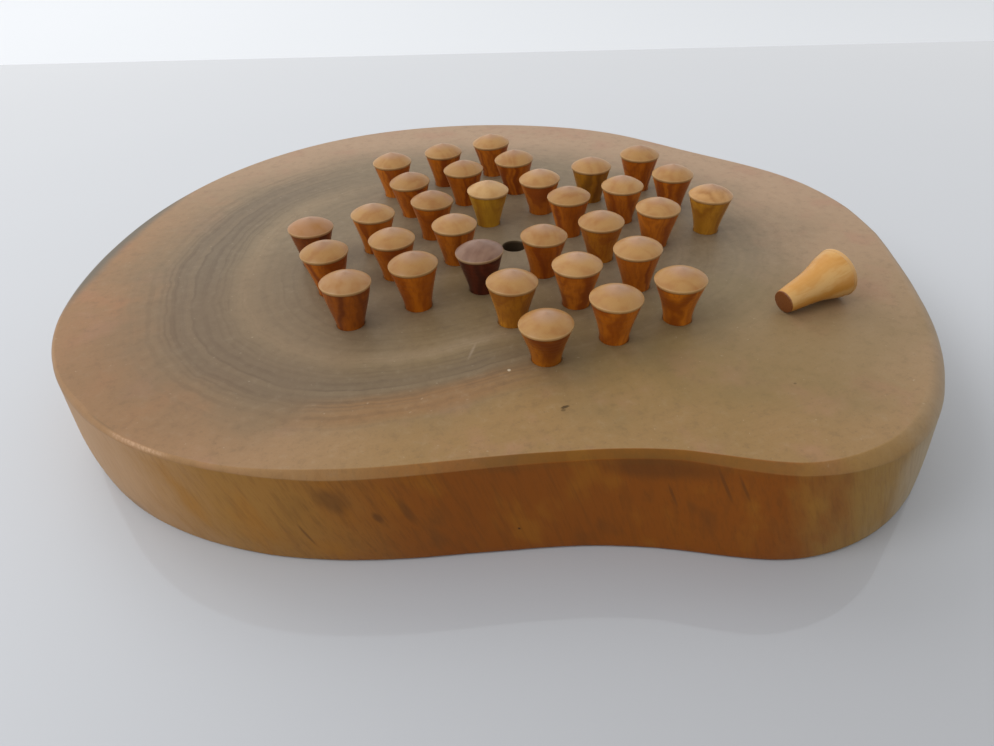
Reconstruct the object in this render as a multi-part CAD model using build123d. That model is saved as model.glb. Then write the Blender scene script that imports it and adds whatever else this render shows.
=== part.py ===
from build123d import *
import math
import os
import string

# Wooden peg solitaire: a slab sawn across a trunk, drilled with a cross of
# blind holes, and one turned wooden peg for each hole. Millimetres, +Z up.
# The origin is on the underside, straight below the centre hole, with +X to
# the right along the rows of holes and +Y away from the player.

# Board
board_thickness = 30.0
top_chamfer = 2.0
bottom_rounding = 1.0
# Points of the sawn edge, anticlockwise from the right. The board is nearly
# round, slightly hollow at the front left, with a blunt nose at the front right.
board_edge = [
    (116.0, -3.0), (100.0, 42.0), (82.0, 79.5), (52.0, 108.5), (12.0, 127.0),
    (-31.5, 130.0), (-74.0, 114.0), (-107.0, 83.5), (-128.5, 45.5), (-137.0, 2.0),
    (-123.5, -39.0), (-102.5, -62.5), (-76.5, -78.0), (-43.5, -90.0), (-10.5, -106.5),
    (11.0, -121.0), (35.0, -124.0), (59.0, -115.0), (89.5, -82.5), (108.5, -42.5),
]

# Pegs, turned from round stock: a slightly tapered stem, a long flare that
# ends under a small step, and a head with a low dome and a faint point
tip_radius = 3.5
tip_chamfer = 0.4
mouth_radius = 3.75  # where the stem leaves its hole
head_radius = 7.0
rim_height = 12.0  # above the board, at the widest place
rim_rounding = 0.9
dome_height = 3.5
step_drop = 0.8  # from the widest place down to the step under the head
step_width = 0.3
step_inset = 0.25  # of the head's lower edge from the widest place

# How much further than rim_height a peg stands out, as hand-turned pegs vary
height_differences = {
    "e2": 1.2, "d1": 0.8, "e1": 0.7, "d5": 0.6, "c7": 0.5,
    "b3": -0.5, "c4": -0.5, "c5": -0.5, "g3": -1.7,
}

# Holes: a cross, three holes wide and seven long
holes_across = 7
holes_across_arm = 3
finger_room = 6.0  # between the heads of neighbouring pegs
hole_depth = 7.0
stem_fit = 0.15  # gap all round between a stem and the mouth of its hole
hole_pitch = 2 * head_radius + finger_room
hole_radius = mouth_radius + stem_fit

# The spare peg lies to the right of the cross, with its head to the right
spare_to_right = 26.0  # its tip, from the last hole of the front row
spare_to_front = 10.9
spare_turn = 2.5  # degrees, anticlockwise
spare_gap = 0.1  # under its tip and its rim


def hole_places():
    # Rows are lettered from the back, columns are numbered from the left.
    middle = holes_across // 2
    places = {}
    for row in range(holes_across):
        for column in range(holes_across):
            right = column - middle
            away = middle - row
            if abs(right) <= holes_across_arm // 2 or abs(away) <= holes_across_arm // 2:
                name = string.ascii_lowercase[row] + str(column + 1)
                places[name] = (right * hole_pitch, away * hole_pitch)
    return places


def sawn_edge():
    # The slope across the seam is that of the chord past it, so no corner shows.
    past_seam = Vector(*board_edge[1]) - Vector(*board_edge[-1])
    return Spline(
        *board_edge,
        board_edge[0],
        tangents=[past_seam, past_seam],
        tangent_scalars=[1, 1],
    )


def board(places):
    block = extrude(make_face(sawn_edge()), board_thickness)
    top_edge = block.edges().group_by(Axis.Z)[-1]
    block = chamfer(top_edge, top_chamfer)
    bottom_edge = block.edges().group_by(Axis.Z)[0]
    block = fillet(bottom_edge, bottom_rounding)
    hole = extrude(Circle(hole_radius), -hole_depth)
    for x, y in places.values():
        block -= Pos(x, y, board_thickness) * hole
    return block


def peg(stands_out):
    # Half the profile, turned about Z, with the middle of the tip at z = 0.
    rim = hole_depth + stands_out
    head_edge = (head_radius - step_inset, rim - step_drop)
    under_step = (head_radius - step_inset - step_width, rim - step_drop)
    shoulder = (head_radius - rim_rounding, rim + rim_rounding)
    stem = Polyline(
        (0, 0),
        (tip_radius - tip_chamfer, 0),
        (tip_radius, tip_chamfer),
        (mouth_radius, hole_depth),
    )
    flare_slope = (0.22, 1)
    dome_slope = (-1.7, 1)
    flare = Spline(
        (mouth_radius, hole_depth), under_step, tangents=[flare_slope, flare_slope]
    )
    step = Line(under_step, head_edge)
    edge = Spline(
        head_edge,
        (head_radius, rim),
        shoulder,
        tangents=[flare_slope, (0, 1), dome_slope],
    )
    dome = Spline(shoulder, (0, rim + dome_height), tangents=[dome_slope, (-1, 0.2)])
    axis = Line((0, rim + dome_height), (0, 0))
    section = make_face(Plane.XZ * Curve([stem, flare, step, edge, dome, axis]))
    return revolve(section, Axis.Z)


def standing_peg(name, place):
    x, y = place
    stands_out = rim_height + height_differences.get(name, 0.0)
    return Pos(x, y, board_thickness - hole_depth) * peg(stands_out)


def spare_peg(nearest_hole):
    # It rests on the rim of its head and on its tip, so its axis slopes.
    length = hole_depth + rim_height
    slope = math.degrees(math.asin((head_radius - tip_radius) / length))
    lying = Rot(0, 0, spare_turn) * Rot(0, 90 - slope, 0) * peg(rim_height)
    x, y = nearest_hole
    floor = board_thickness + spare_gap - lying.bounding_box().min.Z
    return Pos(x + spare_to_right, y - spare_to_front, floor) * lying


def main():
    os.makedirs("parts", exist_ok=True)
    places = hole_places()
    export_step(board(places), "parts/board.step")
    empty = [name for name, place in places.items() if place == (0, 0)]
    for name, place in places.items():
        if name not in empty:
            export_step(standing_peg(name, place), f"parts/peg_{name}.step")
    front_right = list(places)[-1]
    export_step(spare_peg(places[front_right]), "parts/peg_spare.step")


main()
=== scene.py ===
import math
import string

import bmesh
import bpy
import numpy as np
from mathutils import Matrix, Vector


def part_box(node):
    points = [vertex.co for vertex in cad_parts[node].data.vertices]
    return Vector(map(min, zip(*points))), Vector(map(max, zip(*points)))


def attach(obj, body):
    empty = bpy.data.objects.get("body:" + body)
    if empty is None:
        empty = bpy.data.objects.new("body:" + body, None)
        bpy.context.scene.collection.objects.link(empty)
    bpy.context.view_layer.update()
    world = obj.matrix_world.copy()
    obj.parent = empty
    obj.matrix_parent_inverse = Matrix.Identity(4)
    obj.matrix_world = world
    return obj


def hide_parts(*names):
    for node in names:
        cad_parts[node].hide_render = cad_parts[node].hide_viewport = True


# Peg solitaire on a slab of trunk: the drilled board, 32 standing pegs and a
# spare one lying on it. Metres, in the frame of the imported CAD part.

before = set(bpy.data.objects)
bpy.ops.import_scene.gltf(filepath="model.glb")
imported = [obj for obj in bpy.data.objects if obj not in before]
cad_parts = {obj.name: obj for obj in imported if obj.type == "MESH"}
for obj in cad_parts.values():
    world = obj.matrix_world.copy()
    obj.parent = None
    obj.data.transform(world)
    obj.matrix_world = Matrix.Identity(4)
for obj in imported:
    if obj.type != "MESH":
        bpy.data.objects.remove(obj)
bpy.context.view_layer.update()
mm = 0.001
joinWithin = 0.004 * mm  # points of a piece nearer than this become one
print("frame loaded:", len(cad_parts), "nodes")


# Shader maths

class Wire:
    # One output socket of a node tree. Arithmetic on wires adds Math nodes,
    # and node() adds any other kind.
    def __init__(self, tree, socket=None):
        self.tree = tree
        self.socket = socket

    def node(self, kind, settings=None, inputs=None, output=0):
        made = self.tree.nodes.new("ShaderNode" + kind)
        count = len(self.tree.nodes)
        made.location = (190 * (count % 14), -260 * (count // 14))
        for name, value in (settings or {}).items():
            setattr(made, name, value)
        for name, value in (inputs or {}).items():
            if isinstance(value, Wire):
                self.tree.links.new(value.socket, made.inputs[name])
            else:
                made.inputs[name].default_value = value
        return Wire(self.tree, made.outputs[output] if len(made.outputs) else None)

    def also(self, output):  # another output of the same node
        return Wire(self.tree, self.socket.node.outputs[output])

    def maths(self, operation, *values):
        return self.node("Math", {"operation": operation}, dict(enumerate(values)))

    def __add__(self, other):
        return self.maths("ADD", self, other)

    def __sub__(self, other):
        return self.maths("SUBTRACT", self, other)

    def __rsub__(self, other):
        return self.maths("SUBTRACT", other, self)

    def __mul__(self, other):
        return self.maths("MULTIPLY", self, other)

    def __truediv__(self, other):
        return self.maths("DIVIDE", self, other)

    def __pow__(self, other):
        return self.maths("POWER", self, other)

    __radd__ = __add__
    __rmul__ = __mul__

    def rise(self, low, high):  # 0 below low, 1 above high, smooth between
        return self.node("MapRange", {"interpolation_type": "SMOOTHSTEP"},
                         {0: self, 1: low, 2: high, 3: 0.0, 4: 1.0})

    def hump(self, low, high, soft):  # 1 from low to high, smooth at both ends
        return self.rise(low - soft, low + soft) * (1 - self.rise(high - soft, high + soft))

    def stretched(self, along):  # a vector, each part times its own factor
        return self.node("VectorMath", {"operation": "MULTIPLY"}, {0: self, 1: along})

    def noise(self, scale, detail=2.0, roughness=0.5, distortion=0.0):
        return self.node("TexNoise", {}, {"Vector": self, "Scale": scale, "Detail": detail,
                                          "Roughness": roughness, "Distortion": distortion})

    def lines(self, detail=2.0, roughness=0.6):  # noise along one number
        return self.node("TexNoise", {"noise_dimensions": "1D"},
                         {"W": self, "Scale": 1.0, "Detail": detail, "Roughness": roughness})

    def blend(self, first, second):  # two colours mixed by this share
        return self.node("Mix", {"data_type": "RGBA"}, {0: self, 6: first, 7: second}, output=2)

    def toward(self, colour, share):  # this colour mixed with another by a share
        return share.blend(self, colour)

    def apart(self, other):  # the length of a vector with these two parts
        return (self ** 2 + other ** 2) ** 0.5


def tone(red, green, blue):
    # A colour written as in a picture, from 0 to 255, as the linear one that nodes use.
    parts = np.array([red, green, blue]) / 255
    linear = np.where(parts <= 0.04045, parts / 12.92, ((parts + 0.055) / 1.055) ** 2.4)
    return (*linear.tolist(), 1.0)


def newMaterial(name):
    material = bpy.data.materials.new(name)
    material.use_nodes = True
    material.node_tree.nodes.clear()
    return material, Wire(material.node_tree)


def closeMaterial(start, **sockets):
    shader = start.node("BsdfPrincipled", inputs={
        name.replace("_", " "): value for name, value in sockets.items()})
    start.node("OutputMaterial", inputs={"Surface": shader})


# Mesh building

def ringFaces(rows, columns, first=0):
    # Quads between neighbouring rows of a grid whose columns run all the way round.
    start = np.arange(rows - 1)[:, None] * columns + first
    here = np.arange(columns)[None, :]
    ahead = (here + 1) % columns
    corners = [start + here, start + ahead, start + columns + ahead, start + columns + here]
    return np.stack(corners, axis=-1).reshape(-1, 4)


def solidPiece(name, points, faces, values, material):
    # A closed smooth piece from grids of points. Points that meet are joined, so
    # seams and poles close, and the faces are turned outwards.
    mesh = bpy.data.meshes.new(name)
    mesh.from_pydata(points.tolist(), [], faces.tolist())
    for label, numbers in values.items():
        mesh.attributes.new(label, "FLOAT", "POINT").data.foreach_set(
            "value", numbers.astype(np.float32))
    shell = bmesh.new()
    shell.from_mesh(mesh)
    bmesh.ops.remove_doubles(shell, verts=shell.verts, dist=joinWithin)
    bmesh.ops.recalc_face_normals(shell, faces=shell.faces)
    openEdges = sum(1 for edge in shell.edges if not edge.is_manifold)
    shell.to_mesh(mesh)
    shell.free()
    mesh.polygons.foreach_set("use_smooth", np.ones(len(mesh.polygons), bool))
    mesh.materials.append(material)
    piece = bpy.data.objects.new(name, mesh)
    bpy.context.scene.collection.objects.link(piece)
    if openEdges:
        print("open edges in", name, openEdges)
    return piece


def cubicThrough(knots, values, at):
    # Smooth curve through points: each span is a cubic whose end slopes are those
    # of its neighbours' chord.
    slopes = np.gradient(values, knots)
    span = np.clip(np.searchsorted(knots, at) - 1, 0, len(knots) - 2)
    width = knots[span + 1] - knots[span]
    t = (at - knots[span]) / width
    rise = values[span + 1] - values[span]
    startBend = slopes[span] * width - rise
    endBend = rise - slopes[span + 1] * width
    return values[span] + t * rise + t * (1 - t) * ((1 - t) * startBend + t * endBend)


def addedWaves(table, first, second):
    # Sine waves added up, then brought between 0 and 1. Each has a size, its rates
    # along both directions and a shift.
    total = sum(size for size, *rest in table)
    added = sum(size * np.sin(rate * first + otherRate * second + shift)
                for size, rate, otherRate, shift in table)
    return (added + total) / (2 * total)


# Holes: a cross, with rows lettered from the back and columns numbered from the left
holesAcross = 7


def holePlaces():
    pitch = round((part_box("peg_a4")[0].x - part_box("peg_a3")[0].x) / mm) * mm
    places = {}
    for row in range(holesAcross):
        for column in range(holesAcross):
            right, away = column - holesAcross // 2, holesAcross // 2 - row
            if abs(right) <= 1 or abs(away) <= 1:
                name = string.ascii_lowercase[row] + str(column + 1)
                places[name] = (right * pitch, away * pitch)
    return places, pitch


places, pitch = holePlaces()

# Board: everything in millimetres here, and bearings in degrees from +X round the
# centre hole, anticlockwise.
board = {
    "stepsPerCell": 16,
    "holeRadius": 3.9,
    "holeDepth": 7.0,
    # profile of a hole, out from its wall: the floor, with the height over it, and
    # the wall and the eased mouth, with the depth under the top
    "holeFloor": [(-0.9, 0.0), (-0.25, 0.1), (0.0, 0.4), (0.0, 3.0)],
    "holeMouth": [(0.0, 3.0), (0.0, 0.9), (0.0, 0.2), (0.02, 0.09), (0.06, 0.03), (0.13, 0.0)],
    "mouthDepth": 0.4,  # down to here a hole follows the uneven top
    "cellShares": (0.15, 0.35, 0.6, 0.8, 1.0),  # rows between the mouth and the square cell
    "rowsToEdge": 44,
    "rimGap": 0.3,  # from the last of those rows to the edge
    "unevenness": 0.22,  # how far the sanded top dips, in these waves along x and y
    "sandingWaves": [(1.0, 0.043, 0.021, 1.1), (1.0, -0.035, 0.027, 0.4),
                     (0.6, 0.09, -0.05, 0.0), (0.4, 0.07, 0.11, 2.0)],
    # bearing: width in from the wall, height down from the top, and 1 where the
    # corner is rounded to 2 where it is a flat chamfer
    "topEdge": {
        0: (3.0, 3.6, 1.1), 40: (1.4, 1.4, 1.5), 125: (1.4, 1.2, 1.5), 150: (1.8, 1.5, 1.3),
        172: (1.2, 1.2, 1.3), 184: (1.0, 1.4, 1.2), 191: (1.5, 1.9, 1.1), 198: (1.0, 1.0, 1.4),
        212: (0.8, 0.8, 1.6), 222: (1.6, 1.7, 1.9), 264: (1.4, 1.6, 1.8), 276: (1.9, 2.0, 1.9),
        286: (3.1, 3.3, 1.5), 292: (3.9, 4.5, 1.1), 300: (4.8, 6.0, 1.0), 318: (5.2, 7.2, 1.0),
        326: (4.4, 6.0, 1.0), 336: (2.8, 3.8, 1.0), 348: (2.6, 3.4, 1.05), 360: (3.0, 3.6, 1.1),
    },
    # in the CAD, all that lies further out than wallFrom and under wallTop is wall
    "wallTop": 28.0,
    "wallFrom": 90.0,
    # bearing: how far the wall leans in towards the top
    "topInset": {
        0: 0.02, 8: 0.0, 92: 0.0, 98: 0.04, 112: 0.04, 118: 0.0, 170: 0.0, 180: 0.7, 190: 0.7,
        199: 0.0, 250: 0.0, 264: 1.0, 274: 0.0, 284: 0.2, 290: 0.8, 295: 1.5, 301: 1.9, 307: 1.7,
        313: 1.3, 320: 0.8, 328: 0.2, 336: -0.7, 345: -0.9, 351: -0.25, 354: 0.02, 360: 0.02,
    },
    # bearing: how far its foot goes in, fading out at this height
    "undercut": {
        0: 0.0, 172: 0.0, 180: 1.2, 186: 1.6, 197: 1.7, 211: 1.7, 225: 1.2, 244: 0.0, 264: 0.0,
        275: 0.6, 284: 0.8, 292: 0.8, 300: 0.3, 308: 0.0, 360: 0.0,
    },
    "undercutHeight": 15.0,
    "waveDepth": 0.16,  # of the waves round the wall, full this far under the edge
    "wavesFrom": 6.0,
    "wallWaves": [(1.0, 9, 0.05, 0.0), (0.7, 23, -0.09, 1.0), (0.5, 41, 0.15, 2.0)],
    # bearing: how far the edge takes the finish of the wall, and how softly it turns into it
    "edgeWall": {
        0: 0.1, 185: 0.2, 222: 0.35, 240: 0.7, 250: 0.98, 264: 0.95, 272: 0.7, 280: 0.4,
        288: 0.2, 300: 0.0, 360: 0.1,
    },
    "edgeSoft": {
        0: 0.9, 60: 0.6, 150: 0.8, 190: 0.5, 204: 0.2, 225: 0.0, 282: 0.0, 291: 0.8, 360: 0.9,
    },
    "bottomRounding": 1.0,
    "farInside": 99.0,  # stands for the distance from the edge under the board and in its holes
}


def outlineRadius(bearing):
    # Distance of the sawn edge from the centre hole at each bearing, as a smooth
    # curve through the points of the CAD wall.
    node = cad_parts["board"].data
    flat = np.empty(3 * len(node.vertices), np.float32)
    node.vertices.foreach_get("co", flat)
    x, y, z = flat.reshape(-1, 3).T / mm
    reach = np.hypot(x, y)
    near = 0.1
    wall = ((z > board["bottomRounding"] - near) & (z < board["wallTop"] + near)
            & (reach > board["wallFrom"]))
    around = np.degrees(np.arctan2(y[wall], x[wall])) % 360
    order = np.unique(np.round(around, 2), return_index=True)[1]
    knots, radii = around[order], reach[wall][order]
    knots = np.concatenate([knots[-3:] - 360, knots, knots[:3] + 360])
    radii = np.concatenate([radii[-3:], radii, radii[:3]])
    return cubicThrough(knots.astype(float), radii.astype(float), bearing % 360)


def byBearing(table, bearing, column=None):
    # Straight between the values of a table by bearing.
    knots = np.array(sorted(table), float)
    values = np.array([table[k] if column is None else table[k][column] for k in sorted(table)])
    return np.interp(bearing % 360, knots, values.astype(float))


def topHeight(x, y):
    # The flat top less a few long shallow waves of sanding, never above the CAD top.
    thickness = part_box("board")[1].z / mm
    return thickness - board["unevenness"] * addedWaves(board["sandingWaves"], x, y)


def crossOutline(cell, steps):
    # The corners of the cross of cells, walked anticlockwise in even steps.
    near, far = 1.5 * cell, holesAcross / 2 * cell
    corners = np.array([(far, -near), (far, near), (near, near), (near, far), (-near, far),
                        (-near, near), (-far, near), (-far, -near), (-near, -near),
                        (-near, -far), (near, -far), (near, -near)])
    ends = np.roll(corners, -1, axis=0)
    counts = np.rint(np.abs(ends - corners).sum(axis=1) / cell * steps).astype(int)
    return np.concatenate([start + (end - start) * (np.arange(n) / n)[:, None]
                           for start, end, n in zip(corners, ends, counts)])


def boardShell():
    # One grid runs from the cross of holes out over the top, round the edge, down
    # the wall and under to the centre. Its columns are bearings.
    cross = crossOutline(pitch / mm, board["stepsPerCell"])
    bearing = np.degrees(np.arctan2(cross[:, 1], cross[:, 0])) % 360
    way = np.radians(bearing)
    reach = outlineRadius(bearing)
    slope = (outlineRadius(bearing + 0.5) - outlineRadius(bearing - 0.5)) / np.radians(1.0)
    edge = np.stack([reach * np.cos(way), reach * np.sin(way)], axis=1)
    outward = np.stack([reach * np.cos(way) + slope * np.sin(way),
                        reach * np.sin(way) - slope * np.cos(way)], axis=1)
    outward /= np.linalg.norm(outward, axis=1)[:, None]
    width, height, crisp = (byBearing(board["topEdge"], bearing, part) for part in range(3))
    topInset, undercut, edgeWall, edgeSoft = (
        byBearing(board[name], bearing)
        for name in ("topInset", "undercut", "edgeWall", "edgeSoft"))
    rows, wallShare, fromEdge = [], [], []

    def addRow(inset, z, share):
        leaning = inset + topInset * np.clip(z / board["wallTop"], 0, 1)
        rows.append(np.column_stack([edge - outward * leaning[:, None], z]))
        wallShare.append(np.zeros(len(edge)) + share)
        fromEdge.append(np.zeros(len(edge)) + inset)

    # top, from the cross to the start of the edge
    rim = edge - outward * (width + topInset + board["rimGap"])[:, None]
    for t in np.linspace(0, 1, board["rowsToEdge"]):
        flat = cross + (rim - cross) * t
        rows.append(np.column_stack([flat, topHeight(*flat.T)]))
        wallShare.append(np.zeros(len(edge)))
        fromEdge.append(np.linalg.norm(edge - flat, axis=1))
    # edge: a superellipse from the top to the wall, round or chamfered by bearing
    start = edge - outward * (width + topInset)[:, None]
    crown = topHeight(*start.T)
    for turn in np.linspace(0, math.pi / 2, 11):
        inset = width * (1 - math.sin(turn) ** crisp)
        share = edgeWall + (1 - edgeWall) * edgeSoft * (turn / math.pi * 2) ** 1.5
        addRow(inset, crown - height * (1 - math.cos(turn) ** crisp), share)
    # wall: with shallow waves inwards and an undercut towards the bottom
    lowest = board["bottomRounding"]

    def hollow(z):
        depth = board["waveDepth"] * np.clip((crown - height - z) / board["wavesFrom"], 0, 1)
        sink = np.clip(1 - z / board["undercutHeight"], 0, 1) ** 2
        return depth * addedWaves(board["wallWaves"], way, z) + undercut * sink

    for t in [0.012, *np.linspace(0, 1, 19)[1:]]:  # the first row is just under the edge
        z = crown - height + (lowest - crown + height) * t
        addRow(hollow(z), z, 1.0)
    # rounded lower corner, then the underside to the centre
    foot = hollow(np.full(len(edge), lowest))
    for turn in np.linspace(0, math.pi / 2, 5)[1:]:
        addRow(foot + lowest * (1 - math.cos(turn)),
               np.full(len(edge), lowest * (1 - math.sin(turn))), 1.0)
    sole = rows[-1][:, :2]
    for t in np.linspace(1, 0, 16)[1:]:
        rows.append(np.column_stack([sole * t, np.zeros(len(edge))]))
        wallShare.append(np.zeros(len(edge)))
        fromEdge.append(np.full(len(edge), board["farInside"]))
    faces = ringFaces(len(rows), len(edge))
    return np.concatenate(rows), faces, np.concatenate(wallShare), np.concatenate(fromEdge)


def holeCells(first):
    # One grid for each hole: up from the middle of its floor, over the eased mouth
    # and out to the square cell round it. Its columns are bearings round the hole.
    cell, steps = pitch / mm, board["stepsPerCell"]
    side = (np.arange(steps) / steps - 0.5) * cell
    half = np.full(steps, cell / 2)
    square = np.concatenate([np.column_stack([half, side]), np.column_stack([-side, half]),
                             np.column_stack([-half, -side]), np.column_stack([side, -half])])
    ray = square / np.linalg.norm(square, axis=1)[:, None]
    radius, depth = board["holeRadius"], -board["holeDepth"]
    profile = [(-radius, depth)] + [(out, depth + up) for out, up in board["holeFloor"]]
    profile += [(out, -down) for out, down in board["holeMouth"]]
    flats = [ray * (radius + out) for out, z in profile]
    mouth = flats[-1]
    flats += [mouth * (1 - t) + square * t for t in board["cellShares"]]
    drops = np.array([z for out, z in profile] + [0.0] * len(board["cellShares"]))
    points, faces, inHole = [], [], []
    for x, y in places.values():
        spots = np.array(flats) + [x / mm, y / mm]
        level = np.where(drops[:, None] < -board["mouthDepth"], topHeight(x / mm, y / mm),
                         topHeight(spots[..., 0], spots[..., 1]))
        z = level + drops[:, None]
        points.append(np.dstack([spots, z]).reshape(-1, 3))
        faces.append(ringFaces(len(flats), len(square), first))
        inHole.append(np.repeat(np.clip(-drops * 2, 0, 1), len(square)))
        first += len(points[-1])
    return np.concatenate(points), np.concatenate(faces), np.concatenate(inHole)


# Board finish: end grain on top, long grain on the wall. Colours as in a picture.
boardLook = {
    # top: heartwood, the growth rings, and the paler margin round them
    "heart": (122, 106, 84), "heartFront": (120, 101, 73), "paleRing": (141, 121, 95),
    "darkRing": (102, 88, 74), "redRing": (136, 100, 66), "margin": (153, 126, 98),
    "marginFront": (142, 112, 73), "marginLeft": (146, 112, 80), "marginRed": (152, 108, 78),
    "marginBackSheen": (164, 136, 110), "blush": (160, 118, 96), "cloud": (128, 106, 78),
    "ochre": (110, 94, 52), "dusk": (104, 80, 58), "line": (80, 66, 54),
    "fleck": (190, 176, 152), "pitAndHoleShade": (40, 26, 14), "scuff": (160, 142, 122),
    # edge
    "stain": (92, 94, 88), "chip": (194, 158, 128), "bevelShade": (98, 78, 34),
    # wall
    "wallTan": (170, 132, 92), "wallOchre": (152, 108, 48), "wallRed": (134, 72, 14),
    "wallOlive": (152, 116, 54), "wallGrey": (164, 144, 112), "wallGold": (160, 104, 26),
    "wallDarkAndShade": (84, 50, 22),
}
rings = {
    "pith": (-20.0, 0.0),
    "dark": 78.0,  # the dark ring, as its distance from the pith on the left
    # bearing from the pith: distance to the dark ring, which runs nearest at the front
    "shape": {0: 95, 20: 90, 38: 85, 60: 87, 90: 92, 113: 94, 128: 91, 155: 86, 180: 85,
              200: 84, 215: 79, 230: 70, 250: 63, 270: 61, 290: 69, 315: 80, 338: 96},
}
# Broad shades and small marks on the top: place, half length and width, finish and share
broadShades = [((34.0, -78.0), (56.0, 36.0), "ochre", 0.42),
               ((-98.0, -12.0), (52.0, 50.0), "dusk", 0.3)]
topMarks = [((-25.4, -79.4), (1.3, 0.5), "pitAndHoleShade", 0.75), ((27.3, -96.7), (0.4, 0.35), "pitAndHoleShade", 0.45),
            ((-30.7, -60.3), (0.5, 0.5), "fleck", 0.9), ((-26.3, -80.2), (0.7, 0.5), "pitAndHoleShade", 0.5)]
# and one pale stroke: its middle, its direction in degrees and its half length and width
stroke = {"middle": (-35.5, -48.2), "turn": 51.0, "size": (4.8, 0.5), "share": 0.42}
# Marks on the wall, and at the end one wide band of painted shade under the front edge: bearing
# and height, width and half height, finish and share
wallMarks = [
    ((244.5, 8.0), (0.5, 0.5), "pitAndHoleShade", 0.9), ((223.0, 21.5), (3.4, 4.5), "wallDarkAndShade", 0.5),
    ((227.5, 16.0), (1.1, 1.8), "wallDarkAndShade", 0.65), ((230.8, 17.5), (1.3, 4.5), "wallDarkAndShade", 0.5),
    ((219.4, 9.5), (0.35, 4.0), "wallDarkAndShade", 0.6), ((221.3, 5.0), (5.0, 4.0), "wallGold", 0.4),
    ((263.5, 18.0), (0.4, 3.6), "wallDarkAndShade", 0.5), ((268.3, 22.5), (0.4, 5.0), "wallDarkAndShade", 0.55),
    # the last entry here, wide under the front edge, is painted shade in the hollow below the
    # bevel
    ((269.9, 22.5), (0.35, 4.0), "wallDarkAndShade", 0.5), ((261.5, 26.0), (14.0, 3.5), "wallDarkAndShade", 0.5),
]


def harmonics(table, count):
    # A smooth closed curve through values by bearing: its mean, then the share of
    # each cosine and sine.
    knots = sorted(table)
    turn = np.radians(np.array(knots, float))
    waves = [np.ones_like(turn)]
    for k in range(1, count + 1):
        waves += [np.cos(k * turn), np.sin(k * turn)]
    values = np.array([table[knot] for knot in knots], float)
    return [float(share) for share in np.linalg.lstsq(np.stack(waves, 1), values, rcond=None)[0]]


def topColour(look, x, y, flat, patches, grain):
    # growth rings: distance from the pith over that of the dark ring on its bearing
    right, away = x - rings["pith"][0], y - rings["pith"][1]
    turn = right.maths("ARCTAN2", away, right)
    shares = harmonics(rings["shape"], 3)
    shape = shares[0]
    for k in (1, 2, 3):
        angle = turn * k
        shape = (angle.maths("COSINE", angle) * shares[2 * k - 1]
                 + angle.maths("SINE", angle) * shares[2 * k] + shape)
    ring = right.apart(away) * rings["dark"] / shape
    ring = ring + (flat.noise(0.02, 2) - 0.5) * 7 + (flat.noise(0.14, 3) - 0.5) * 2.4
    side = turn.maths("FLOORED_MODULO", turn * math.degrees(1), 360.0)
    left, front = side.hump(105, 268, 18), side.hump(226, 300, 18)
    loose = ring + (patches - 0.5) * 20
    colour = front.blend(look["heart"], look["heartFront"])
    # the margin outside the rings, by side
    edge = front.blend(look["margin"], look["marginFront"])
    edge = edge.toward(look["marginLeft"], side.hump(135, 222, 22))
    edge = edge.toward(look["cloud"], patches.rise(0.5, 0.3) * 0.3)
    # paler towards the back: the margin's own tone there with a painted sheen from the grazing
    # light
    edge = edge.toward(look["marginBackSheen"], (y + x * 0.9).rise(-10, 115) * 0.95)
    edge = edge.toward(look["blush"], flat.noise(0.05, 3, 0.6).rise(0.5, 0.68) * 0.4)
    colour = colour.toward(edge, loose.rise(72, 102))
    colour = colour.toward(look["marginRed"], patches.rise(0.5, 0.66) * ring.hump(84, 104, 5)
                           * side.hump(125, 200, 22) * 0.55)
    # broad rings, then fine ones
    colour = colour.toward(look["paleRing"], ring.hump(55, 62, 3.5) * left * 0.6)
    colour = colour.toward(look["darkRing"], ring.hump(66, 80, 5) * left * 0.5)
    colour = colour.toward(look["redRing"], ring.hump(77, 88, 3) * side.hump(222, 262, 12) * 0.7)
    broad, fine = (ring * 0.13).lines(2, 0.5), (ring * 0.62).lines(3, 0.6)
    colour = colour.toward(look["paleRing"], broad.rise(0.5, 0.68) * loose.rise(96, 84) * 0.25)
    lined = (ring.hump(63, 86, 6) * left * 0.26 + ring.hump(44, 50, 3) * left * 0.14
             + loose.rise(100, 84) * 0.06 + 0.03) * (patches.rise(0.36, 0.6) * 0.8 + 0.3)
    colour = colour.toward(look["line"], fine.rise(0.56, 0.32) * lined)
    mottle = flat.noise(0.3, 4, 0.7)
    colour = colour.toward(look["line"], mottle.rise(0.5, 0.3) * 0.2)
    colour = colour.toward(look["fleck"], mottle.rise(0.5, 0.78) * 0.1)
    # broad shades, pores, pale specks and small marks
    for (atX, atY), (wide, deep), name, share in broadShades:
        far = ((x - atX) * (1 / wide)).apart((y - atY) * (1 / deep)) + (patches - 0.5) * 1.2
        colour = colour.toward(look[name], far.rise(1.25, 0.35) * share)
    colour = colour.toward(look["line"], grain.rise(0.44, 0.3) * 0.22)
    colour = colour.toward(look["fleck"], flat.noise(0.75, 2, 0.5).rise(0.7, 0.77) * 0.22)
    for (atX, atY), (wide, deep), name, share in topMarks:
        far = ((x - atX) * (1 / wide)).apart((y - atY) * (1 / deep)) + (grain - 0.5) * 0.8
        colour = colour.toward(look[name], far.rise(1.15, 0.6) * share)
    slant = math.radians(stroke["turn"])
    right, away = x - stroke["middle"][0], y - stroke["middle"][1]
    along = right * math.cos(slant) + away * math.sin(slant)
    aside = away * math.cos(slant) - right * math.sin(slant)
    far = (along * (1 / stroke["size"][0])).apart(aside * (1 / stroke["size"][1]))
    return colour.toward(look["scuff"], far.rise(1.2, 0.1) * stroke["share"]), fine


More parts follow.
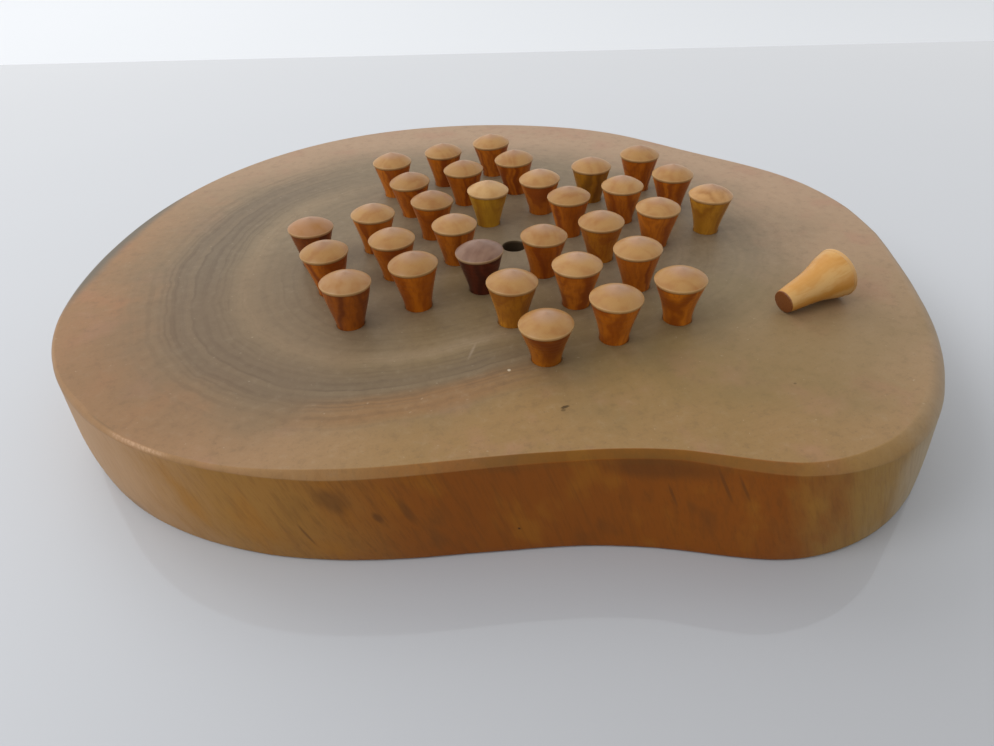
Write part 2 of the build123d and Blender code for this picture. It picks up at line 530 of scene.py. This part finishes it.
def wallColour(look, bearing, z, cloud, streak, thread):
    # by bearing, with clouds and long grain through it, then its marks and a band of painted shade
    zone = bearing + (cloud - 0.5) * 16
    wall = zone.rise(196, 211).blend(look["wallTan"], look["wallOchre"])
    wall = wall.toward(look["wallRed"], zone.rise(211, 236))
    wall = wall.toward(look["wallOlive"], zone.rise(272, 284))
    wall = wall.toward(look["wallGrey"], zone.rise(282, 292))
    wall = wall.toward(look["wallGold"], cloud.rise(0.52, 0.7) * bearing.hump(200, 286, 8) * 0.35)
    wall = wall.toward(look["wallDarkAndShade"], cloud.rise(0.45, 0.32) * bearing.hump(218, 276, 6) * 0.3)
    rough = bearing.hump(217, 234, 6) * 0.08 + bearing.rise(196, 212) * 0.1 + 0.06
    wall = wall.toward(look["wallDarkAndShade"], streak.rise(0.52, 0.34) * rough)
    wall = wall.toward(look["wallDarkAndShade"], thread.rise(0.5, 0.34) * (rough * 0.6 + 0.04))
    leaning = 0.18  # degrees of bearing for each mm down, as the grain leans
    for (around, high), (wide, deep), name, share in wallMarks:
        aside, up = bearing - around + (z - high) * leaning, z - high
        far = (aside * (2 / wide)).apart(up * (1 / deep)) + (cloud - 0.5) * 0.9
        wall = wall.toward(look[name], far.rise(1.3, 0.4) * share)
    return wall


def edgeMarks(look, colour, bearing, z, inwards, cloud, thread):
    # A grey stain at the back left, a thin dark line and a few pale chips at the
    # left end, and painted shade on the bevel at the front.
    onEdge = z.rise(26, 27.5)
    stained = bearing.hump(129, 166, 9) * 5.2 + bearing.hump(140, 188, 10) * 2 + cloud * 2 - 2.4
    colour = colour.toward(
        look["stain"], (stained - inwards).rise(-0.8, 3.5) * z.rise(12, 29) * 0.8)
    colour = colour.toward(
        look["line"], bearing.hump(193, 197.5, 1.5) * inwards.hump(1, 1.6, 0.4) * 0.35)
    colour = colour.toward(
        look["chip"], bearing.hump(198, 205, 1.5) * inwards.hump(0.2, 0.9, 0.25) * onEdge
        * (thread.rise(0.4, 0.6) * 0.4 + 0.3))
    # painted shade on the front bevel, where it would catch more light
    return colour.toward(
        look["bevelShade"], bearing.hump(240, 274, 6) * inwards.hump(0.05, 1.6, 0.12) * onEdge * 0.42)


def boardMaterial():
    look = {name: tone(*value) for name, value in boardLook.items()}
    material, start = newMaterial("sawnTrunk")
    place = start.node("TexCoord", output="Object").stretched((1 / mm, 1 / mm, 1 / mm))
    x = place.node("SeparateXYZ", inputs={0: place})
    y, z = x.also("Y"), x.also("Z")
    bearing = x.maths("FLOORED_MODULO", x.maths("ARCTAN2", y, x) * math.degrees(1), 360.0)
    onWall, inHole, inwards = (start.node("Attribute", {"attribute_name": label}, output="Fac")
                               for label in ("wallShare", "inHole", "fromEdge"))
    flat = place.stretched((1, 1, 0))
    patches = flat.noise(0.035, 3, 0.55)
    grain = flat.noise(1.3, 3, 0.7)
    # long grain on the wall: noise drawn out upwards, leaning a little
    lean = place.node("VectorRotate", {"rotation_type": "Z_AXIS"},
                      {"Vector": place, "Angle": z * 0.0032})
    streak = lean.stretched((1, 1, 0.07)).noise(0.6, 3, 0.6)
    thread = lean.stretched((1, 1, 0.05)).noise(1.8, 2, 0.6)
    cloud = lean.stretched((1, 1, 0.6)).noise(0.09, 3, 0.55)
    colour, fine = topColour(look, x, y, flat, patches, grain)
    colour = colour.toward(wallColour(look, bearing, z, cloud, streak, thread), onWall)
    colour = edgeMarks(look, colour, bearing, z, inwards, cloud, thread)
    # painted shade inside the holes, in the colour of the pits
    colour = colour.toward(look["pitAndHoleShade"], inHole * 0.8)
    roughness = grain * 0.16 + inHole * 0.2 + 0.4
    height = fine * 0.01 + grain * 0.03 * (1 - onWall) + (streak * 0.04 + thread * 0.01) * onWall
    bump = start.node("Bump", inputs={"Strength": 0.35, "Distance": 0.001, "Height": height})
    closeMaterial(start, Base_Color=colour, Roughness=roughness, Normal=bump, IOR=1.5,
                  Specular_IOR_Level=0.25, Specular_Tint=(1.0, 0.8, 0.5, 1.0))
    return material


def makeBoard():
    shell, shellFaces, wallShare, fromEdge = boardShell()
    cells, cellFaces, inHole = holeCells(len(shell))
    values = {
        "wallShare": np.concatenate([wallShare, np.zeros(len(cells))]),
        "fromEdge": np.concatenate([fromEdge, np.full(len(cells), board["farInside"])]),
        "inHole": np.concatenate([np.zeros(len(shell)), inHole]),
    }
    piece = solidPiece("playingBoard", np.concatenate([shell, cells]) * mm,
                       np.concatenate([shellFaces, cellFaces]), values, boardMaterial())
    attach(piece, "board")
    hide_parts("board")
    return piece


made = makeBoard()
print("board:", len(made.data.polygons), "faces")

# Pegs: millimetres, with profiles of heights from the tip and radii
peg = {
    "around": 72,
    "tipTop": 0.4,
    "mouth": 7.0,
    "headEdge": 18.35,  # the step under the head
    "rim": 19.0,
    "tip": [(0.0, 0.3), (0.06, 0.12)],  # height, and how far in from the stem
    "side": [(0.4, 3.4), (3.5, 3.62), (6.6, 3.84), (7.0, 3.86), (8.0, 3.94), (10.0, 4.34),
             (12.5, 5.0), (15.0, 5.76), (16.6, 6.24), (17.8, 6.56), (18.35, 6.68)],
    "spareSide": [(0.4, 3.22), (3.8, 3.72), (6.8, 4.08), (9.8, 4.52), (12.7, 5.26), (14.7, 5.94),
                  (16.6, 6.52), (17.6, 6.74), (18.35, 6.79)],
    "edge": [(18.35, 6.8), (18.42, 6.86), (18.56, 6.93), (18.74, 6.98), (18.95, 7.0)],
    "crown": [(0.04, 6.98), (0.18, 6.88), (0.44, 6.58), (0.8, 6.1), (1.2, 5.48), (1.62, 4.74),
              (2.04, 3.92), (2.46, 2.98), (2.85, 2.0), (3.2, 1.05), (3.42, 0.4), (3.5, 0.0)],
    "domeHeight": 3.5,
    # a swell between the mouth and the head, with more or less for some pegs
    "swellLength": 10.8,
    "girth": {"e1": 0.25, "g4": -0.12, "g5": -0.2},
    "outOfRound": 0.005,  # as a share of the radius, from this height up
    "roundBelow": 10.0,
    "toolMarks": 0.02,  # their depth, from this height up
    "marksFrom": 9.0,
}

# Lean to the right and away, in degrees, of the pegs that don't stand upright
leans = {
    "b3": (-1.8, 0.0), "c3": (1.6, 0.0), "e3": (-1.9, 0.6), "f3": (1.2, 0.0), "g3": (-0.8, 0.0),
    "a5": (-1.9, 0.5), "b5": (-2.0, 0.0), "c5": (-2.0, 0.0), "d5": (-0.9, 0.0), "e5": (-1.0, 0.0),
    "f5": (-2.0, 0.0), "g5": (-1.4, 0.4), "c2": (1.8, 0.0), "e2": (-1.4, 0.0), "c1": (2.0, 0.0),
    "d1": (-1.1, 0.0), "e1": (1.9, 0.0), "b4": (-0.9, 0.6), "c4": (1.2, 0.0), "e4": (1.3, 0.0),
    "e7": (1.5, 0.0), "e6": (0.9, -0.5),
}

# Colours of a peg's turned side and of its cap, as in a picture, and a painted highlight for the
# rim of the head
pegTones = {
    "plain": {"side": (192, 108, 18), "sideDark": (142, 66, 8), "cap": (165, 122, 66),
              "capDark": (152, 102, 46), "capPoint": (163, 129, 106), "rim": (206, 172, 124)},
    "c4": {"side": (196, 146, 36), "sideDark": (166, 112, 22), "cap": (186, 146, 92),
           "capDark": (170, 126, 70), "capPoint": (178, 142, 108)},
    "e3": {"side": (96, 38, 20), "sideDark": (68, 24, 14), "cap": (128, 96, 76),
           "capDark": (104, 70, 52), "capPoint": (132, 104, 90)},
    "c6": {"side": (168, 112, 24), "sideDark": (130, 82, 16)},
    "e7": {"side": (188, 130, 34), "sideDark": (150, 94, 20), "cap": (184, 138, 82)},
    "f3": {"side": (180, 116, 26), "sideDark": (126, 66, 12)},
    "c1": {"side": (140, 72, 20), "sideDark": (96, 42, 12), "cap": (158, 112, 70)},
    "e1": {"side": (160, 84, 14), "sideDark": (110, 50, 10), "cap": (162, 120, 72)},
    "e5": {"side": (180, 112, 22)},
    "g5": {"side": (196, 112, 18), "sideDark": (146, 72, 8)},
    "g3": {"side": (172, 100, 14), "sideDark": (120, 56, 8)},
    "spare": {"side": (200, 156, 92), "sideDark": (188, 130, 52), "cap": (194, 144, 78),
              "capDark": (172, 118, 52), "tip": (112, 60, 26)},
}


def pegMaterial(name, dice):
    # Long grain drawn out along the peg with soft growth layers through it, paler end
    # grain on the cap, a little darker towards its point, a painted highlight at its edge.
    look = dict(pegTones["plain"], **pegTones.get(name, {}))
    shift = 0 if name in pegTones else dice.uniform(-9, 9)
    look = {key: tone(*np.clip(np.array(value) + shift, 0, 255)) for key, value in look.items()}
    material, start = newMaterial("turnedPeg_" + name)
    along, across, aside, onCap = (
        start.node("Attribute", {"attribute_name": label}, output="Fac")
        for label in ("alongPeg", "acrossPeg", "asidePeg", "onCap"))
    place = start.node("CombineXYZ", inputs={0: across, 1: aside, 2: along})
    offset = start.node("VectorMath", {"operation": "ADD"},
                        {0: place, 1: tuple(dice.uniform(0, 400, 3))})
    fibre = offset.stretched((1, 1, 0.1)).noise(1.2, 3, 0.55)
    layers = (across * 0.3 + along * dice.uniform(-0.04, 0.04)
              + (offset.noise(0.14, 2) - 0.5) * 1.6 + dice.uniform(0, 90)).lines(2, 0.5)
    pores = offset.stretched((1, 1, 0.3)).noise(2.6, 2, 0.6)
    colour = layers.rise(0.3, 0.66).blend(look["sideDark"], look["side"])
    colour = colour.toward(look["sideDark"], fibre.rise(0.56, 0.34) * 0.4)
    top = (layers * 0.4 + offset.noise(0.25, 2) * 0.6).rise(0.3, 0.6).blend(
        look["capDark"], look["cap"])
    top = top.toward(look["capPoint"], onCap.rise(0.74, 0.97) * 0.75)
    top = top.toward(look["capDark"], pores.rise(0.46, 0.32) * 0.2)
    # painted highlight round the edge of the head
    top = top.toward(look["rim"], onCap.rise(0.545, 0.505) * 0.35)
    colour = colour.toward(top, onCap.rise(0.2, 0.4))
    if "tip" in look:
        colour = colour.toward(look["tip"], along.rise(0.5, 0.2) * (pores * 0.4 + 0.75))
    roughness = pores * 0.12 + onCap * 0.1 + 0.3
    height = fibre * 0.015 + (along * 3.1).lines(2, 0.6) * 0.004
    bump = start.node("Bump", inputs={"Strength": 0.3, "Distance": 0.001, "Height": height})
    closeMaterial(start, Base_Color=colour, Roughness=roughness, Normal=bump, IOR=1.5,
                  Specular_IOR_Level=0.4)
    return material


def turnedPeg(name, dice, length):
    # A profile turned about +Z, standing on its tip: radius as a smooth function of
    # height, a little out of round above the mouth. Millimetres.
    heights, radii = np.array(peg["spareSide" if name == "spare" else "side"]).T
    mouth = peg["mouth"]
    fine = np.concatenate([np.linspace(peg["tipTop"], mouth, 10),
                           np.linspace(mouth + 0.3, peg["headEdge"], 34)])
    marks = peg["toolMarks"] * (np.sin(fine * dice.uniform(4.0, 6.0)) - 1)
    marks = marks * np.clip((fine - peg["marksFrom"]) / 5, 0, 1)
    swell = np.sin(math.pi * np.clip((fine - mouth) / peg["swellLength"], 0, 1))
    swell = swell * (dice.uniform(-0.05, 0.15) + peg["girth"].get(name, 0.0))
    sideRadii = cubicThrough(heights, radii, fine) + marks + swell
    edgeHeights, edgeRadii = np.array(peg["edge"]).T
    crownHeights, crownRadii = np.array(peg["crown"]).T
    steps = np.arange(len(crownRadii), dtype=float)
    dome = np.linspace(0, steps[-1], 31)
    domeHeights = cubicThrough(steps, crownHeights, dome) * dice.uniform(0.9, 0.995)
    domeRadii = cubicThrough(steps, crownRadii, dome)
    # a longer or shorter peg is stretched between its hole and its head
    lift = length - peg["rim"] - peg["domeHeight"]
    span = peg["headEdge"] - mouth
    fine = np.where(fine > mouth, mouth + (fine - mouth) * (1 + lift / span), fine)
    tipHeights, tipInsets = np.array(peg["tip"]).T
    height = np.concatenate([[0.0], tipHeights, fine, edgeHeights + lift,
                             domeHeights[1:] + peg["rim"] + lift])
    radius = np.concatenate([[0.0], sideRadii[0] - tipInsets, sideRadii, edgeRadii,
                             domeRadii[1:]])
    turn = np.arange(peg["around"]) / peg["around"] * 2 * math.pi
    loose = np.clip((height - peg["roundBelow"]) / 6, 0, 1) * peg["outOfRound"]
    # two soft lobes and three softer ones, never outwards
    bulge = np.cos(2 * turn + dice.uniform(0, 6)) + 0.4 * np.cos(3 * turn + dice.uniform(0, 6))
    spread = radius[:, None] * (1 + loose[:, None] * (bulge[None, :] - 1.4))
    x, y = spread * np.cos(turn), spread * np.sin(turn)
    z = np.repeat(height[:, None], len(turn), axis=1)
    # 0 on the side, 0.5 at the head's edge, 1 at its point
    overRim = height - peg["rim"] - lift
    capped = (overRim > 0) | (height > peg["headEdge"] + lift - 0.01) & (radius > 6.5)
    onCap = np.where(capped, 0.5 + np.clip(overRim / peg["domeHeight"], 0, 1) / 2, 0)
    points = np.stack([x, y, z], axis=-1).reshape(-1, 3)
    grain = dice.uniform(0, 2 * math.pi)
    values = {
        "alongPeg": z.ravel(),
        "acrossPeg": points[:, 0] * math.cos(grain) + points[:, 1] * math.sin(grain),
        "asidePeg": points[:, 1] * math.cos(grain) - points[:, 0] * math.sin(grain),
        "onCap": np.repeat(onCap, len(turn)),
    }
    return points, ringFaces(len(height), len(turn)), values


def makeStandingPeg(name, place, dice):
    # Leant about the middle of the mouth of its hole, then set down in it.
    low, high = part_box("peg_" + name)
    points, faces, values = turnedPeg(name, dice, (high.z - low.z) / mm)
    right, away = (math.radians(angle) for angle in leans.get(name, (0.0, 0.0)))
    points = points - [0, 0, peg["mouth"]]
    tilt = np.array(Matrix.Rotation(right, 3, "Y") @ Matrix.Rotation(-away, 3, "X"))
    points = points @ tilt.T
    seat = [place[0] / mm, place[1] / mm, low.z / mm + peg["mouth"]]
    return solidPiece("turnedPeg_" + name, (points + seat) * mm, faces, values,
                      pegMaterial(name, dice))


# The spare peg lies on its rim and its tip
spare = {"turn": 2.5, "tipRadius": 3.22, "rimRadius": 7.0}


def makeSparePeg(dice):
    # The sine of its slope is the difference of its two radii over the height of the rim.
    low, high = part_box("peg_spare")
    points, faces, values = turnedPeg("spare", dice, peg["rim"] + peg["domeHeight"])
    slope = math.asin((spare["rimRadius"] - spare["tipRadius"]) / peg["rim"])
    lay = Matrix.Rotation(math.radians(spare["turn"]), 3, "Z") @ Matrix.Rotation(
        math.pi / 2 - slope, 3, "Y")
    points = points @ np.array(lay).T * mm
    middle = (points.min(axis=0) + points.max(axis=0)) / 2
    seat = np.array((low + high) / 2) - middle
    seat[2] = low.z - points[:, 2].min()
    return solidPiece("turnedPeg_spare", points + seat, faces, values,
                      pegMaterial("spare", dice))


dice = np.random.default_rng(33)
for name, place in [*places.items(), ("spare", None)]:
    node = "peg_" + name
    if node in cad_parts:  # the centre hole is empty
        made = makeStandingPeg(name, place, dice) if place else makeSparePeg(dice)
        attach(made, node)
        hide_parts(node)
print("pegs:", len(places), "with the spare one,", len(made.data.polygons), "faces each")

# Studio: a glossy pale table, white further back, under soft light
camera = {"place": (-0.09187, -0.19525, 0.13907), "heading": 23.214, "down": 36.556,
          "roll": -2.677, "lens": 26.743}
# The table ends along a straight line: its heading and distance from the origin
floor = {"half": 4.0, "near": (195, 198, 203), "far": (222, 225, 229), "edgeHeading": 28.4,
         "edgeFrom": 0.3776, "edgeWidth": 0.002, "roughness": 0.05, "farRoughness": 0.65,
         "shadowTone": (172, 174, 178), "shadowMiddle": (0.0, -0.2), "shadowReach": 0.26}
# A soft sky, a broad window at the back and a small lamp at the left for the glints
light = {"sky": 0.67, "tilt": 0.48, "toWindow": (-0.5, 0.6, 0.62),
         "window": {"place": (-0.3, 0.95, 0.85), "size": 0.9, "power": 4.2, "glossy": False},
         "lamp": {"place": (-0.6, -0.02, 0.6), "size": 0.35, "power": 1.7, "glossy": True}}


def makeFloor():
    material, start = newMaterial("paleTable")
    heading = math.radians(floor["edgeHeading"])
    place = start.node("TexCoord", output="Object")
    x = start.node("SeparateXYZ", inputs={0: place})
    depth = x * math.sin(heading) + x.also("Y") * math.cos(heading)
    beyond = depth.rise(floor["edgeFrom"], floor["edgeFrom"] + floor["edgeWidth"])
    # painted shadow: a little dimmer in front of the board
    far = (x - floor["shadowMiddle"][0]).apart(x.also("Y") - floor["shadowMiddle"][1])
    near = far.rise(0.0, floor["shadowReach"]).blend(tone(*floor["shadowTone"]), tone(*floor["near"]))
    rougher = floor["farRoughness"] - floor["roughness"]
    closeMaterial(start, Base_Color=near.toward(tone(*floor["far"]), beyond),
                  Roughness=beyond * rougher + floor["roughness"], IOR=1.45)
    half = floor["half"]
    mesh = bpy.data.meshes.new("table")
    mesh.from_pydata([(-half, -half, 0), (half, -half, 0), (half, half, 0), (-half, half, 0)],
                     [], [(0, 1, 2, 3)])
    mesh.materials.append(material)
    table = bpy.data.objects.new("table", mesh)
    bpy.context.scene.collection.objects.link(table)


def makeLight():
    world = bpy.data.worlds.new("softRoom")
    bpy.context.scene.world = world
    world.use_nodes = True
    world.node_tree.nodes.clear()
    start = Wire(world.node_tree)
    seen = start.node("LightPath", output="Is Camera Ray")
    shown = seen.maths("MAXIMUM", seen, seen.also("Is Glossy Ray"))
    shown = seen.maths("MAXIMUM", shown, seen.also("Is Transmission Ray"))
    # brighter towards the window: the dot product of a ray and that side
    way = start.node("TexCoord", output="Generated")
    facing = way.node("VectorMath", {"operation": "DOT_PRODUCT"},
                      {0: way, 1: light["toWindow"]}, output="Value")
    sky = (facing * light["tilt"] + 1) * light["sky"]
    strength = sky + shown * (1 - sky)
    sky = start.node("Background", inputs={"Color": (1, 1, 1, 1), "Strength": strength})
    start.node("OutputWorld", inputs={"Surface": sky})
    for name in ("window", "lamp"):
        lamp = bpy.data.lights.new(name, "AREA")
        lamp.shape = "DISK"
        lamp.size = light[name]["size"]
        lamp.energy = light[name]["power"]
        holder = bpy.data.objects.new(name, lamp)
        bpy.context.scene.collection.objects.link(holder)
        holder.location = light[name]["place"]
        holder.rotation_euler = (-Vector(light[name]["place"])).to_track_quat("-Z", "Y").to_euler()
        holder.visible_glossy = light[name]["glossy"]


def makeCamera():
    lens = bpy.data.cameras.new("photo")
    lens.sensor_width = 36
    lens.lens = camera["lens"]
    lens.clip_start = 0.005
    holder = bpy.data.objects.new("photo", lens)
    bpy.context.scene.collection.objects.link(holder)
    turn = (Matrix.Rotation(-math.radians(camera["heading"]), 4, "Z")
            @ Matrix.Rotation(math.radians(90 - camera["down"]), 4, "X")
            @ Matrix.Rotation(math.radians(camera["roll"]), 4, "Z"))
    holder.matrix_world = Matrix.Translation(camera["place"]) @ turn
    bpy.context.scene.camera = holder


makeFloor()
makeLight()
makeCamera()
bpy.context.scene.view_settings.view_transform = "Standard"
print("studio ready")
